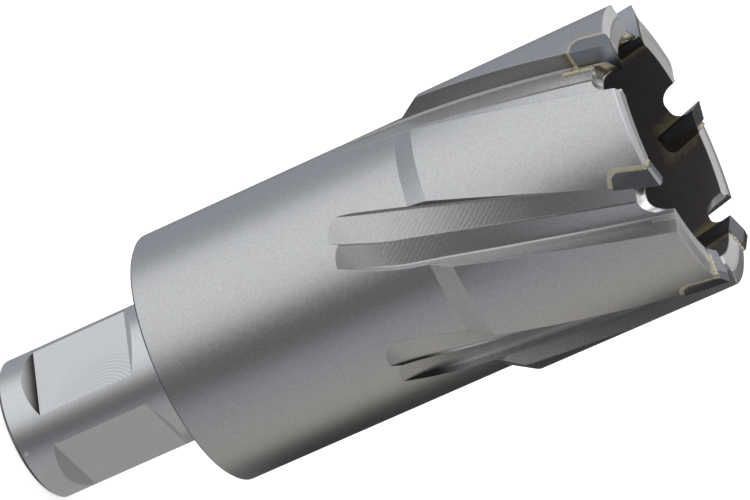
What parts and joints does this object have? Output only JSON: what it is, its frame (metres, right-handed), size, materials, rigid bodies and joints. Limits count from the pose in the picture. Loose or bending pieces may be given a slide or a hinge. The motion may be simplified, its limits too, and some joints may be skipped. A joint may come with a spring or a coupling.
{
  "type": "annular cutter",
  "caption": "Hollow core drill with a two-flat shank, stepped round body, helical flutes, open gullets and brazed carbide tips at its mouth.",
  "frame": {"origin": "centre of the shank's end face, on the axis", "axes": "+Z along the axis from the shank to the teeth, with the mouth up; the picture looks along +Y"},
  "size_m": [0.0378, 0.038, 0.0933],
  "materials": {
    "tool_steel": "satin, fine blasted",
    "carbide": "ground, dark",
    "braze": "dull"
  },
  "bodies": {
    "root": {"cutter_body": "tool_steel", "carbide_tip_1": "carbide", "braze_seam_1": "braze", "carbide_tip_2": "carbide", "braze_seam_2": "braze", "carbide_tip_3": "carbide", "braze_seam_3": "braze", "carbide_tip_4": "carbide", "braze_seam_4": "braze", "carbide_tip_5": "carbide", "braze_seam_5": "braze", "carbide_tip_6": "carbide", "braze_seam_6": "braze"}
  },
  "joints": []
}
